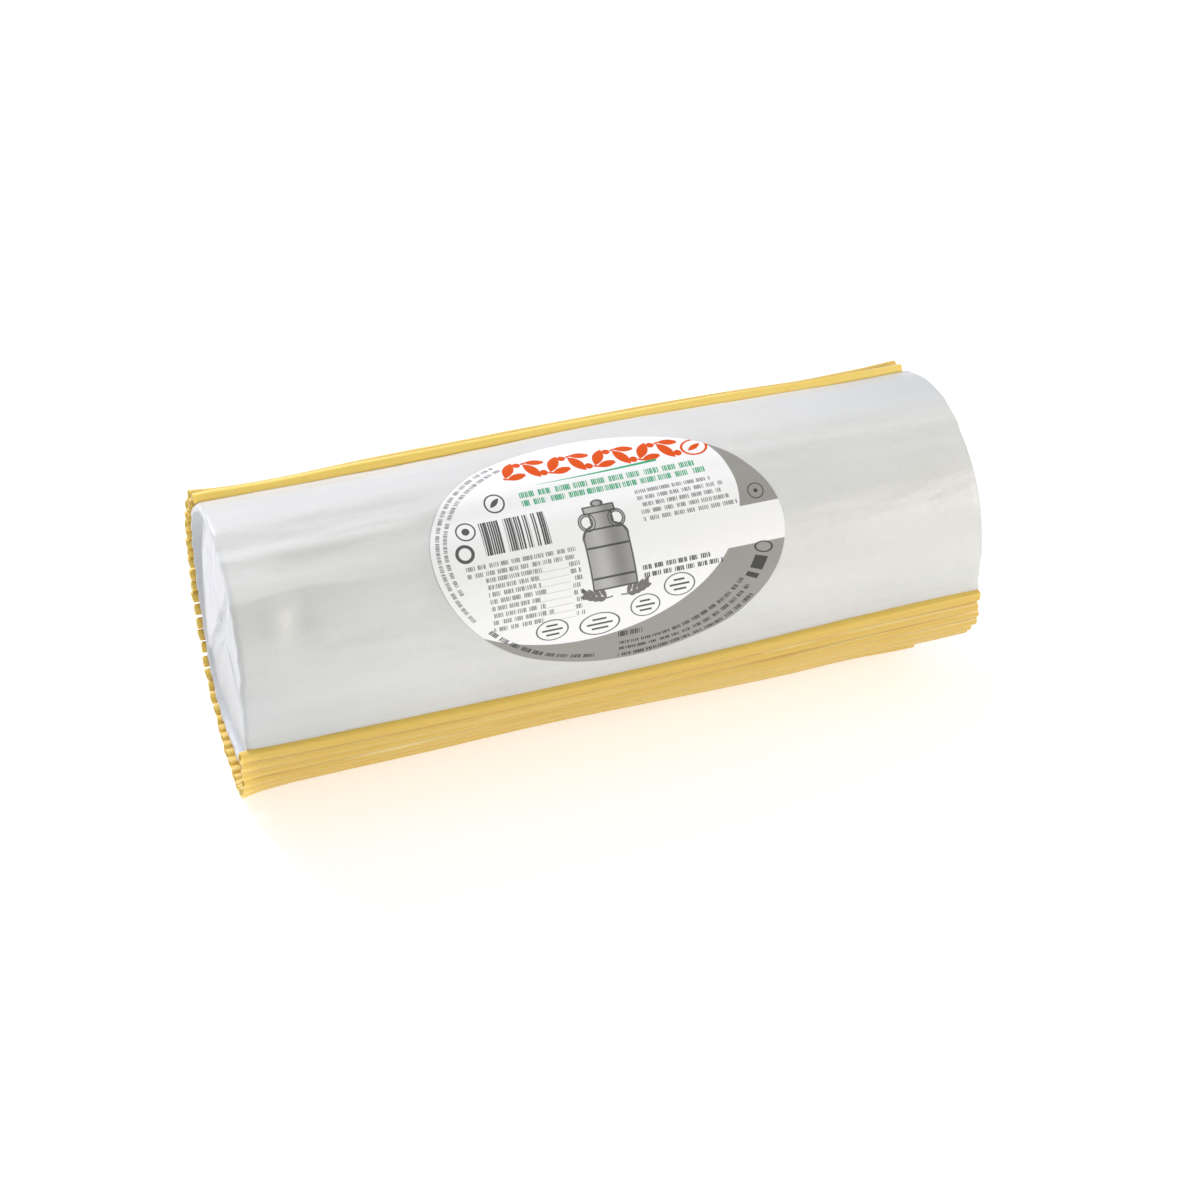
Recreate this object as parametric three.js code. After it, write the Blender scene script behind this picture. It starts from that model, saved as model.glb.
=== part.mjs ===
// A one-kilogram log of soft cheese shut in white waxed paper, lying in a mat of
// lengthwise straws, with an oval label on the bare paper at its front and top.
// Millimetres, +Z up. X runs along the log, the label faces -Y and up.

import * as THREE from 'three';
import { mergeVertices } from 'three/addons/utils/BufferGeometryUtils.js';

// Driving dimensions
const logRadius = 38;
const logLeftEnd = -108;
const logRightEnd = 107.3;
const flatUnderLog = 37.3;
const rimRadius = 1.6;
const surfaceGap = 0.3;

// The cheese sags a little to both sides of the flat that it rests on
const sagHeight = 1.3;
const sagSpread = 26;
const sagAngles = [ -52, 232 ];

// Soft lengthwise ridges of the paper: angle, width in degrees, height
const ridges = [
	{ angle: 84, spread: 6, height: 0.4 },
	{ angle: 71, spread: 5, height: 0.4 },
	{ angle: 64, spread: 5, height: -0.45 },
	{ angle: 28, spread: 14, height: 0.35 },
	{ angle: 4, spread: 4, height: 0.35 },
	{ angle: -2, spread: 4, height: -0.3 },
	{ angle: 150, spread: 12, height: 0.4 },
	{ angle: 205, spread: 9, height: -0.3 },
];
const ridgeWander = { angle: 3, length: 38 };
const ridgeFade = { share: 0.25, length: 27 };

// Behind the top the paper runs flatter, and bulges a little along the mat's edge
const backFlat = { angle: 124, spread: 14, height: -0.45 };
const backBulge = { angle: 113, spread: 10, x: 16, length: 45, height: 1.5 };

// A leaf-shaped dimple in the paper, near the left end
const dimple = { x: -91.5, angle: 38, length: 4.5, spread: 9, depth: 0.9 };

// Each end: a lip of paper round a recess, and in it flaps that rise to their free edge
const lipShare = 0.972;
const recessShare = 0.945;
const recessDepth = 2.6;
const flapEdges = [ -128, -38, 56, 118, 176 ];
const flapHeight = 1.7;
const flapDrop = 8;
const leftBulges = [
	{ angle: - 8, spread: 40, height: 2 },
	{ angle: 250, spread: 42, height: 1.1 },
];
const rimTurns = [ 0, 30, 60 ];
const rimStep = 0.001;
const bodyLevel = 0.9;

// The mat of straws, from the back edge of the bare paper round to the front edge
const strawCount = 41;
const strawWidth = 3.3;
const strawBore = 2.1;
const firstStrawAngle = 121.5;
const lastStrawAngle = 339.9;
const matPress = 0.3;
const matStep = [ -2.2, -0.9 ];
const matFloor = 0.6;
const strawFoot = 1.6;
const strawSlide = { angle: 0.25, length: 45 };
const strawLift = { height: 0.12, length: 31 };
const strawPhase = 1.7;
const frontSlideLeft = 1.7;
const frontSlideRight = 4.2;
const strawSides = 8;
const strawSteps = 4;
const strawLeftEnd = -108.5;
const strawLeftSlant = -3.3;
const strawRightEnd = 102.8;
const strawRightSlant = 6.7;
const frontTrim = { angle: -20, spread: 10, length: 3.2 };
const strawUneven = 0.15;
const looseStandoff = 1.1;
const looseAngle = 310;
const looseSpread = 22;
const shortStraws = [ 33, 34, 35 ];
const shortStrawEnd = 93;
const shortDroop = { height: 0.6, length: 12 };
const endFlare = 1.1;
const flareLength = 22;
const floorSpan = 20;

// The label: an oval lying on the paper, turned slightly
const labelCentreX = -2.85;
const labelAngle = 45.3;
const labelHalfLength = 50.3;
const labelHalfHeight = 36.1;
const labelTilt = -4.7;
const labelThickness = 0.3;
const labelRows = 26;
const labelColumns = 8;
const labelEdgeTurn = 87;

// Brings the origin to the middle of the footprint
const centreShift = new THREE.Vector2( 1.6, -0.54 );

const axisHeight = flatUnderLog + surfaceGap + strawWidth;
const degrees = THREE.MathUtils.degToRad;

const paperMaterial = new THREE.MeshStandardMaterial( { color: 0xe6e6e3, roughness: 0.5, metalness: 0 } );
const strawMaterial = new THREE.MeshStandardMaterial( { color: 0xe0bd68, roughness: 0.35, metalness: 0 } );
const labelMaterial = new THREE.MeshStandardMaterial( { color: 0xf4f4f2, roughness: 0.3, metalness: 0 } );

// Angles are in degrees, 0 at the front (-Y), 90 at the top

function turnBetween( angle, centre ) {

	return THREE.MathUtils.euclideanModulo( angle - centre + 180, 360 ) - 180;

}

function bump( offset, spread ) {

	return Math.exp( - ( ( offset / spread ) ** 2 ) );

}

function paperRadius( angle, x ) {

	let radius = logRadius;

	for ( const sagAngle of sagAngles ) radius += sagHeight * bump( turnBetween( angle, sagAngle ), sagSpread );

	for ( const ridge of ridges ) {

		const wander = ridgeWander.angle * Math.sin( x / ridgeWander.length + ridge.angle );
		const swell = ridgeFade.share * Math.sin( x / ridgeFade.length + 2 * ridge.angle );
		const fade = 1 - ridgeFade.share + swell;
		radius += ridge.height * fade * bump( turnBetween( angle, ridge.angle + wander ), ridge.spread );

	}

	radius += backFlat.height * bump( turnBetween( angle, backFlat.angle ), backFlat.spread );

	const bulge = bump( x - backBulge.x, backBulge.length );
	radius += backBulge.height * bulge * bump( turnBetween( angle, backBulge.angle ), backBulge.spread );

	const along = bump( x - dimple.x, dimple.length );
	radius -= dimple.depth * along * bump( turnBetween( angle, dimple.angle ), dimple.spread );

	const matMiddle = ( firstStrawAngle + lastStrawAngle ) / 2;
	const intoMat = lastStrawAngle - matMiddle - Math.abs( turnBetween( angle, matMiddle ) );
	radius -= matPress * THREE.MathUtils.smoothstep( intoMat, ...matStep );

	const towardsFloor = - Math.sin( degrees( angle ) );
	if ( towardsFloor > 0 ) radius = Math.min( radius, flatUnderLog / towardsFloor );

	return radius;

}

// How far the folded flaps stand out of an end, by angle and by share of the radius

function flapRelief( angle, share ) {

	let relief = 0;

	flapEdges.forEach( ( edge, index ) => {

		const next = flapEdges[ ( index + 1 ) % flapEdges.length ];
		const width = THREE.MathUtils.euclideanModulo( next - edge, 360 );
		const along = THREE.MathUtils.euclideanModulo( angle - edge, 360 );

		if ( along < width ) {

			relief = Math.min( along / width, ( width - along ) / flapDrop, 1 );

		}

	} );

	return flapHeight * relief * Math.sin( Math.PI * Math.min( share / recessShare, 1 ) ) ** 0.7;

}

function recessAt( share ) {

	return recessDepth * THREE.MathUtils.smoothstep( lipShare - share, 0, lipShare - recessShare );

}

function endPlane( side, angle ) {

	if ( side > 0 ) return logRightEnd;

	let plane = logLeftEnd;

	for ( const bulge of leftBulges ) {

		plane -= bulge.height * bump( turnBetween( angle, bulge.angle ), bulge.spread );

	}

	return plane;

}

function onLog( x, radius, angle ) {

	const turn = degrees( angle );
	return new THREE.Vector3( x, - radius * Math.cos( turn ), axisHeight + radius * Math.sin( turn ) );

}

// Moves every shared vertex of a closed geometry

function reshape( geometry, place ) {

	geometry.deleteAttribute( 'normal' );
	geometry.deleteAttribute( 'uv' );
	const shaped = mergeVertices( geometry );
	const position = shaped.getAttribute( 'position' );
	const point = new THREE.Vector3();

	for ( let i = 0; i < position.count; i ++ ) {

		point.fromBufferAttribute( position, i );
		point.copy( place( point ) );
		position.setXYZ( i, point.x, point.y, point.z );

	}

	shaped.computeVertexNormals();
	return shaped;

}

// The wrapped log

function logProfile() {

	const endShares = [ 0.2, 0.38, 0.55, 0.7, 0.82, recessShare, lipShare ];
	const bodyStations = 14;
	const half = [ new THREE.Vector2( 0, 1 ) ];

	for ( const share of endShares ) half.push( new THREE.Vector2( share, 1 ) );

	for ( const turn of rimTurns ) half.push( new THREE.Vector2( 1, 1 - rimStep * turn ) );

	const body = [];

	for ( let i = 0; i <= bodyStations; i ++ ) {

		body.push( new THREE.Vector2( 1, bodyLevel * ( 1 - 2 * i / bodyStations ) ) );

	}

	const mirrored = half.map( ( p ) => new THREE.Vector2( p.x, - p.y ) ).reverse();
	return [ ...half, ...body, ...mirrored ];

}

function placeLogVertex( point ) {

	const share = Math.min( Math.hypot( point.x, point.z ), 1 );
	const angle = THREE.MathUtils.radToDeg( Math.atan2( point.x, point.z ) );
	const side = Math.sign( point.y );
	const level = Math.abs( point.y );

	if ( level <= bodyLevel ) {

		const left = endPlane( - 1, angle ) + rimRadius;
		const right = endPlane( 1, angle ) - rimRadius;
		const x = THREE.MathUtils.mapLinear( point.y, - bodyLevel, bodyLevel, left, right );
		return onLog( x, paperRadius( angle, x ), angle );

	}

	const plane = endPlane( side, angle );
	const rim = paperRadius( angle, plane );

	if ( share < 0.999 ) {

		const centrePlane = side > 0 ? logRightEnd : logLeftEnd;
		const mixed = THREE.MathUtils.lerp( centrePlane, plane, share ** 2 );
		const height = flapRelief( angle, share ) - recessAt( share );
		return onLog( mixed + side * height, share * ( rim - rimRadius ), angle );

	}

	const turn = degrees( ( 1 - level ) / rimStep );
	const x = plane - side * rimRadius * ( 1 - Math.cos( turn ) );
	return onLog( x, rim - rimRadius * ( 1 - Math.sin( turn ) ), angle );

}

function makeLog() {

	const geometry = reshape( new THREE.LatheGeometry( logProfile(), 72 ), placeLogVertex );
	const mesh = new THREE.Mesh( geometry, paperMaterial.clone() );
	mesh.name = 'wrapped_log';
	return mesh;

}

// The straws

function strawShape( index ) {

	const share = ( index - 1 ) / ( strawCount - 1 );
	const angle = THREE.MathUtils.lerp( firstStrawAngle, lastStrawAngle, share );
	const wave = Math.sin( 2.4 * index ) + 0.6 * Math.sin( 5.3 * index + 1 );
	const trim = frontTrim.length * bump( turnBetween( angle, frontTrim.angle ), frontTrim.spread );
	const fullRight = strawRightEnd + strawRightSlant * share - trim;
	const isShort = shortStraws.includes( index );
	return {
		angle,
		share,
		left: strawLeftEnd + strawLeftSlant * share + strawUneven * wave,
		right: ( isShort ? shortStrawEnd : fullRight ) - strawUneven * wave,
		droop: isShort ? shortDroop.height : 0,
		phase: strawPhase * index,
	};

}

function strawCentre( straw, x ) {

	const towardsLeft = frontSlideLeft * Math.max( 0, x / logLeftEnd ) ** 3;
	const towardsRight = frontSlideRight * THREE.MathUtils.smoothstep( x, 5, logRightEnd );
	const drift = ( towardsLeft + towardsRight ) * straw.share ** 6;
	const slide = strawSlide.angle * Math.sin( x / strawSlide.length + straw.phase ) + drift;
	const lift = strawLift.height * Math.sin( x / strawLift.length + 2 * straw.phase );
	const droop = straw.droop * bump( straw.right - x, shortDroop.length );
	const loose = looseStandoff * bump( turnBetween( straw.angle, looseAngle ), looseSpread );
	const fromEnd = Math.max( 0, 1 - ( x - straw.left ) / flareLength );
	const flare = endFlare * fromEnd ** 2 * bump( turnBetween( straw.angle, looseAngle ), looseSpread );
	const touched = [ - strawFoot, 0, strawFoot ].map( ( turn ) => paperRadius( straw.angle + turn, x ) );
	const paper = Math.max( ...touched, logRadius - matFloor );
	const radius = paper + surfaceGap + strawWidth / 2 + lift + loose + flare + droop;
	const centre = onLog( x, radius, straw.angle + slide );
	centre.z = Math.max( centre.z, strawWidth / 2 );
	return centre;

}

function makeStraw( index ) {

	const straw = strawShape( index );
	const sideToCorner = 1 / Math.cos( Math.PI / strawSides );
	const outer = strawWidth / 2 * sideToCorner;
	const inner = strawBore / 2 * sideToCorner;
	const profile = [];

	for ( let i = 0; i <= strawSteps; i ++ ) profile.push( new THREE.Vector2( outer, i / strawSteps ) );
	for ( let i = strawSteps; i >= 0; i -- ) profile.push( new THREE.Vector2( inner, i / strawSteps ) );

	profile.push( profile[ 0 ].clone() );

	const halfSide = Math.PI / strawSides;
	const tube = new THREE.LatheGeometry( profile, strawSides, halfSide );
	const geometry = reshape( tube, ( point ) => {

		const x = THREE.MathUtils.lerp( straw.left, straw.right, point.y );
		const centre = strawCentre( straw, x );
		const nearFloor = Math.abs( turnBetween( straw.angle, 270 ) ) < floorSpan;
		const turn = degrees( nearFloor ? 270 : straw.angle );
		const outward = point.z;
		const around = - point.x;
		return centre.add( new THREE.Vector3(
			0,
			- outward * Math.cos( turn ) + around * Math.sin( turn ),
			outward * Math.sin( turn ) + around * Math.cos( turn ),
		) );

	} );

	const mesh = new THREE.Mesh( geometry, strawMaterial.clone() );
	mesh.name = `straw_${ String( index ).padStart( 2, '0' ) }`;
	return mesh;

}

// The label

function makeLabel() {

	const sheet = new THREE.BoxGeometry( 2, 2, 1, labelColumns, labelRows, 1 );
	const tilt = degrees( labelTilt );
	const geometry = reshape( sheet, ( point ) => {

		const turn = degrees( labelEdgeTurn ) * point.y;
		const along = labelHalfLength * Math.cos( turn ) * point.x;
		const up = labelHalfHeight * Math.sin( turn );
		const x = labelCentreX + along * Math.cos( tilt ) - up * Math.sin( tilt );
		const arc = along * Math.sin( tilt ) + up * Math.cos( tilt );
		const angle = labelAngle + THREE.MathUtils.radToDeg( arc / logRadius );
		const height = surfaceGap + labelThickness * ( point.z + 0.5 );
		return onLog( x, paperRadius( angle, x ) + height, angle );

	} );

	const mesh = new THREE.Mesh( geometry, labelMaterial.clone() );
	mesh.name = 'label';
	return mesh;

}

const group = new THREE.Group();
group.add( makeLog() );
for ( let index = 1; index <= strawCount; index ++ ) group.add( makeStraw( index ) );
group.add( makeLabel() );
group.position.set( centreShift.x, centreShift.y, 0 );

export default group;
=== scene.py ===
"""Looks of a log of soft cheese: waxed paper, a mat of lengthwise straws and a printed oval label.

Laid out as a Blender add-on and run as a script. Lengths are in metres unless a name ends in _mm.
Angles round the log are in degrees, 0 at the front (-Y) and 90 at the top.
"""

import functools
import math

import bpy
import numpy as np
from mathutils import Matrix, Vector, noise


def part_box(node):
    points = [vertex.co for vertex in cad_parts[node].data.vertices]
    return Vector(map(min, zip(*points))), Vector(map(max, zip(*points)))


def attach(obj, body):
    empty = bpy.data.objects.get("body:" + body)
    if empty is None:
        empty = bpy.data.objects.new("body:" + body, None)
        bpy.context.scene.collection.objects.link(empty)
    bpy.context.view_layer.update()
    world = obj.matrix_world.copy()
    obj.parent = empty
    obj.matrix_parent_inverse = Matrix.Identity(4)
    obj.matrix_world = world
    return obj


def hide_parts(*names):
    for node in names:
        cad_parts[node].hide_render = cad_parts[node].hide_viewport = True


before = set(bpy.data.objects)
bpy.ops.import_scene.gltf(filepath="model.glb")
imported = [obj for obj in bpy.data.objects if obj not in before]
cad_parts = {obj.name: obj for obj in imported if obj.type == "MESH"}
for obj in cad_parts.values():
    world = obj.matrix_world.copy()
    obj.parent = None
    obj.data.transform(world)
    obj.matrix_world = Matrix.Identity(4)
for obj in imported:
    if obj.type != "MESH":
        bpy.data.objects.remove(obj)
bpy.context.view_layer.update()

bl_info = {
    "name": "Cheese log",
    "version": (1, 0, 0),
    "blender": (4, 5, 0),
    "location": "3D View > Sidebar > Cheese log",
    "description": "Wraps a cheese log in paper, lays its straws and sticks on its label",
    "category": "Object",
}

MM = 0.001
LOG_NODE = "wrapped_log"
LABEL_NODE = "label"
STRAW_NODES = sorted(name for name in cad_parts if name.startswith("straw_"))

# Places taken from the frame

log_low, log_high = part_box(LOG_NODE)
straw_low, straw_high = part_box("straw_28")
STRAW_WIDTH = straw_high.z - straw_low.z
GAP_MM = 0.3
FLAT_MM = 37.3
AXIS = Vector((1.6 * MM, -0.54 * MM, STRAW_WIDTH + (GAP_MM + FLAT_MM) * MM))


# Settings that a user would change

def length_setting(name, description, default):
    return bpy.props.FloatProperty(name=name, description=description, default=default, unit="LENGTH")


def angle_setting(name, description, degrees):
    return bpy.props.FloatProperty(
        name=name, description=description, default=math.radians(degrees), unit="ROTATION")


def number_setting(name, description, default, subtype="NONE"):
    return bpy.props.FloatProperty(name=name, description=description, default=default, subtype=subtype)


def colour_setting(name, description, default):
    return bpy.props.FloatVectorProperty(
        name=name, description=description, default=default, subtype="COLOR", size=3)


class PaperSettings(bpy.types.PropertyGroup):
    radius: length_setting("Radius", "Radius of the wrapped log", 38 * MM)
    rim: length_setting("Rim", "Rounding of the paper's fold at each end", 0.9 * MM)
    recess: length_setting("Recess", "How deep the folded ends sit in their lip", 2.6 * MM)
    flaps: length_setting("Flaps", "How far a folded flap stands out", 1.7 * MM)
    crinkle: length_setting("Crinkle", "Height of the paper's soft waves", 0.22 * MM)
    colour: colour_setting("Paper colour", "Waxed white paper", (0.70, 0.70, 0.685))
    shade: colour_setting("Blotch colour", "Where the rind shows through", (0.62, 0.62, 0.595))
    # Painted shade: a greyer, cooler copy of the paper colour over the ends
    end: colour_setting("End colour", "Folded paper over the ends", (0.63, 0.635, 0.655))
    # Partly two layers of paper, partly painted highlight and painted light
    double: colour_setting("Double colour", "Where the paper lies double", (0.81, 0.81, 0.80))
    # Painted shade: the paper is darkened towards this colour round each end's rim, on the round side and
    # on the ends
    fold_shade: colour_setting("Fold colour", "Crease round each end", (0.50, 0.53, 0.55))


class StrawSettings(bpy.types.PropertyGroup):
    wall: length_setting("Wall", "Thickness of a straw's wall", 0.38 * MM)
    squash: number_setting("Squash", "Share by which a straw may be flattened", 0.1, "FACTOR")
    spread: number_setting("Spread", "Share by which a straw widens under the log", 0.11, "FACTOR")
    colour: colour_setting("Straw colour", "Straw-yellow plastic", (0.68, 0.444, 0.084))
    deep: colour_setting("Deep colour", "Darker lines along a straw", (0.64, 0.395, 0.066))
    pale: colour_setting("Pale colour", "Paler lines along a straw", (0.79, 0.60, 0.235))
    # Painted light where two straws meet, where shade falls between them
    side: colour_setting("Side colour", "Light shining through where two straws meet", (0.93, 0.78, 0.43))
    # Painted light on the top straws, the edge straws and the cut ends
    lit: colour_setting("Lit colour", "Top straws with the light behind them", (0.98, 0.68, 0.155))


class LabelSettings(bpy.types.PropertyGroup):
    half_length: length_setting("Half length", "Half of the oval's length", 50.3 * MM)
    half_height: length_setting("Half height", "Half of the oval's height", 36.1 * MM)
    tilt: angle_setting("Tilt", "Turn of the oval on the log", -4.7)
    thickness: length_setting("Thickness", "Thickness of the sticker", 0.12 * MM)
    white: colour_setting("White", "Unprinted sticker", (0.92, 0.92, 0.92))
    grey: colour_setting("Grey", "Crescent along the edge", (0.325, 0.315, 0.295))
    ink: colour_setting("Ink", "Rules, rings and dashes", (0.045, 0.045, 0.043))
    orange: colour_setting("Orange", "Leaf garland", (0.72, 0.085, 0.004))
    green: colour_setting("Green", "Two rows of dashes and a swash", (0.02, 0.37, 0.17))


class StageSettings(bpy.types.PropertyGroup):
    lens: number_setting("Lens", "Focal length in millimetres", 69.13)
    azimuth: angle_setting("Azimuth", "Turn of the camera", -19.25)
    elevation: angle_setting("Elevation", "Camera above the horizon", 36.32)
    camera: bpy.props.FloatVectorProperty(
        name="Camera", description="Place of the camera from the log's middle", subtype="TRANSLATION",
        size=3, default=(-176.46 * MM, -514.69 * MM, 386.63 * MM), unit="LENGTH")
    floor: colour_setting("Floor colour", "Plain pale floor", (0.68, 0.68, 0.68))
    daylight: number_setting("Daylight", "Strength of the light from all round", 0.58)
    glow: number_setting("Glow", "Light that the floor sends up, as a lit table does", 0.53)
    lamp: number_setting("Lamp", "Strength of the soft lamps", 1)


# The log's form, in millimetres and degrees, as the solid has it

LOG_RADIUS_MM = 38.0
SAG_MM = 1.3
SAG_SPREAD = 26
SAG_ANGLES = (-52, 232)
RIDGES = (  # angle, spread, height
    (84, 6, 0.4), (71, 5, 0.4), (64, 5, -0.45), (28, 14, 0.35),
    (4, 4, 0.35), (-2, 4, -0.3), (150, 12, 0.4), (205, 9, -0.3),
)
BACK_FLAT_ANGLE, BACK_FLAT_SPREAD, BACK_FLAT_DEPTH = 124, 14, 0.45
BULGE_X, BULGE_LENGTH = 16, 45
BULGES = (  # place along the log, length, angle, spread, height
    (BULGE_X, BULGE_LENGTH, 113, 10, 1.5), (-91.5, 4.5, 38, 9, -0.9),
)
LEFT_END_MM, RIGHT_END_MM = -108, 107.3
LEFT_BULGES = ((-8, 40, 2), (250, 42, 1.1))  # angle, spread, height
LIP_SHARE, RECESS_SHARE = 0.972, 0.945
FLAP_EDGES, FLAP_DROP = (-128, -38, 56, 118, 176), 8
LABEL_X, LABEL_ANGLE = -2.85, 45.3
STRAW_FIRST, STRAW_LAST = 121.5, 339.9
MAT_PRESS_MM, MAT_STEP, STRAW_FOOT = 0.3, (-2.2, -0.9), 1.6
FRONT_SLIDE, FRONT_SLIDE_LEFT, FRONT_SLIDE_RIGHT = 0.7, 1.7, 4.2
LOOSE_MM, LOOSE_ANGLE, LOOSE_SPREAD = 0.95, 310, 22
FLARE_MM, FLARE_LENGTH = 1.7, 17
SHORT_STRAWS, SHORT_DROOP_MM, SHORT_DROOP_LENGTH = (33, 34, 35), 0.6, 12

# Finer form that only the scene has

CREASES = (  # place along the log, length, angle, spread, height
    (-75, 32, 71.5, 1.4, 0.14), (75, 17, 71, 1.4, 0.1), (-71, 24, 64, 2.6, -0.12), (78, 28, 61, 2.4, -0.08),
    (-92, 28, 70.3, 5, -0.26), (-88, 26, 52.5, 3.5, 0.14), (-68, 25, 33, 9, -0.04),
    (-72, 26, 47, 2.4, -0.14), (53, 5, 53, 1.4, 0.12), (49, 3, 48, 2, -0.15), (77, 22, 2.5, 1.6, 0.13),
    (77, 22, -2.5, 1.8, -0.13), (-60, 22, 3.5, 1.8, 0.1), (-60, 22, -3.5, 2, -0.12),
    (-78, 20, 79, 2.4, -0.08), (-97.6, 3.2, 36, 10, 0.33), (-102.5, 2.5, 40, 9, -0.15),
    (-89.6, 2.6, 40, 10, -0.3),
)
FLAP_NOTCH, FLAP_TIP = (-19.7, 29), (13, -7.9)
TOP_FLAP_DEPTH, TOP_FLAP_STEP, TOP_FLAP_PULL = 1.1, 0.7, 1.5
LEFT_PLEATS, RIGHT_PLEATS = 8, 11
FRONT_CLIMB, REAR_CLIMB, REAR_CLIMB_DIP, STRAW_SWELL = 1.15, 0.45, 0.25, 0.2
CLIMB_START, CLIMB_SPREAD = 2.3, 2.2
EDGE_STRAW_DROP, EDGE_STRAW_SLIDES = 0.3, {1: 2.75, 2: 1.2}
STRAW_OVERHANG = {1: 2.3, 2: 1.9, 3: 1.5}
STRAW_BENDS = (  # first and last straw, place along the log, length, height off the paper
    (2, 3, -45, 30, 0.5), (1, 3, -85, 17, -0.45), (1, 1, 16, 18, -0.2), (1, 3, 74, 12, -0.4),
    (2, 3, 106, 8, 0.8), (2, 3, 0, 200, 0.3), (2, 3, -15, 14, 0.2), (2, 3, 17, 38, 0.45),
    (1, 1, 100, 14, -0.35), (1, 3, -110, 6, 0.9), (33, 39, -25, 30, -0.7), (33, 39, 70, 12, -0.3),
    (33, 39, 50, 35, 0.4), (33, 41, -108, 7, -0.35),
)

# Tones along the straws, with painted light

LIT_STRAWS = {1: 1, 2: 0.45, 3: 0.2, 4: 0.1}
STRAW_TINTS = (  # first and last straw, place along the log, length, paleness
    (1, 1, 25, 26, 0.8), (1, 1, 100, 8, 0.6), (2, 3, -60, 45, 0.7), (2, 3, 5, 18, 0.5),
    (2, 2, 60, 18, 0.5), (3, 3, 0, 200, 0.4), (40, 40, -30, 40, 0.25), (36, 38, 30, 50, 0.2),
)
PAINTED_SIDE_LIGHT = (  # the same for the painted light beside a straw
    (40, 40, 45, 85, 0.9), (39, 39, 25, 60, 0.6), (38, 38, -62, 38, 1), (38, 38, 22, 32, 0.8),
    (38, 38, 88, 20, 0.6), (37, 37, -70, 28, 0.6), (37, 37, 42, 45, 0.5), (2, 2, -60, 60, 0.4),
)
# Painted light and painted glow on the straws
FAINT_SIDE_LIGHT, REAR_EDGE_GLOW, FRONT_EDGE_GLOW, CUT_END_GLOW = 0.5, 0.9, 0.3, 0.6

# How finely the pieces are divided

LOG_SIDES, RIM_SEGMENTS, SIDE_CUTS, FINE_CUTS = 360, 4, 20, 9
WALL_RINGS, WALL_STEP, RING_STEP = 7, 0.36 * MM, 1.55 * MM
STRAW_SIDES, STRAW_CUTS = 24, 41
LABEL_RINGS, LABEL_SIDES = 36, 168
SMOOTH_BELOW = math.radians(50)


def turn_between(angle, centre):
    return (angle - centre + 180) % 360 - 180


def bump(offset, spread):
    return np.exp(-((offset / spread) ** 2))


def bump_round(angle, centre, spread):
    return bump(turn_between(angle, centre), spread)


def ease(value, low, high):
    share = np.clip((value - low) / (high - low), 0, 1)
    return share * share * (3 - 2 * share)


def front_drift(share, x):
    """How far a straw near the mat's front edge turns up towards its ends, in degrees."""
    to_left = FRONT_SLIDE_LEFT * np.maximum(0, x / LEFT_END_MM) ** 3
    to_right = FRONT_SLIDE_RIGHT * ease(x, 5, RIGHT_END_MM)
    return (FRONT_SLIDE + to_left + to_right) * share ** 6


def into_mat(angle, x):
    """Degrees from the nearer edge straw's middle, above 0 inside the mat."""
    middle = (STRAW_FIRST + STRAW_LAST) / 2
    half = (STRAW_LAST - STRAW_FIRST) / 2
    turn = turn_between(angle, middle)
    drift = np.where(turn > 0, front_drift(1, x), 0)
    return half + drift - np.abs(turn)


def paper_radius(angle, x):
    """Radius of the paper in millimetres, at an angle and a place along the log."""
    radius = np.full(np.broadcast(angle, x).shape, LOG_RADIUS_MM)
    for sag_angle in SAG_ANGLES:
        radius += SAG_MM * bump_round(angle, sag_angle, SAG_SPREAD)
    for centre, spread, height in RIDGES:
        wander = 3 * np.sin(x / 38 + centre)
        fade = 0.75 + 0.25 * np.sin(x / 27 + 2 * centre)
        radius += height * fade * bump_round(angle, centre + wander, spread)
    radius -= BACK_FLAT_DEPTH * bump_round(angle, BACK_FLAT_ANGLE, BACK_FLAT_SPREAD)
    for place, length, centre, spread, height in BULGES:
        radius += height * bump(x - place, length) * bump_round(angle, centre, spread)
    radius -= MAT_PRESS_MM * ease(into_mat(angle, x), *MAT_STEP)
    towards_floor = -np.sin(np.radians(angle))
    flat = FLAT_MM / np.maximum(towards_floor, 0.1)
    return np.where(towards_floor > 0.1, np.minimum(radius, flat), radius)


def on_log(x, radius, angle):
    """Points in metres from places on the log in millimetres and degrees."""
    turn = np.radians(angle)
    points = np.stack((x, -radius * np.cos(turn), radius * np.sin(turn)), axis=-1)
    return points * MM + np.array(AXIS)


def label_share(x, angle):
    """0 at the label's middle and 1 at its edge."""
    settings = bpy.context.scene.cheese_label
    along = x - LABEL_X
    up = np.radians(turn_between(angle, LABEL_ANGLE)) * LOG_RADIUS_MM
    turned_along = along * math.cos(settings.tilt) + up * math.sin(settings.tilt)
    turned_up = -along * math.sin(settings.tilt) + up * math.cos(settings.tilt)
    return np.hypot(turned_along / (settings.half_length / MM), turned_up / (settings.half_height / MM))


# Modelling helpers

def enter_mode(mode):
    bpy.ops.object.mode_set(mode=mode)


def clear_selection():
    if bpy.context.object and bpy.context.object.mode != "OBJECT":
        enter_mode("OBJECT")
    bpy.ops.object.select_all(action="DESELECT")


def make_active(piece):
    clear_selection()
    piece.select_set(True)
    bpy.context.view_layer.objects.active = piece


def select_in_mesh(piece, kind, wanted):
    """Selects the edges or faces that the test picks, then enters edit mode."""
    make_active(piece)
    enter_mode("EDIT")
    bpy.ops.mesh.select_mode(type=kind)
    bpy.ops.mesh.select_all(action="DESELECT")
    enter_mode("OBJECT")
    for element in piece.data.edges if kind == "EDGE" else piece.data.polygons:
        element.select = wanted(element)
    enter_mode("EDIT")


def add_cylinder(sides, radius, length, middle, ends):
    """A cylinder that lies along X."""
    clear_selection()
    bpy.ops.mesh.primitive_cylinder_add(
        vertices=sides, radius=radius, depth=length, end_fill_type=ends, location=middle,
        rotation=(0, math.pi / 2, 0))
    bpy.ops.object.transform_apply(location=True, rotation=True, scale=True)
    return bpy.context.object


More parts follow.
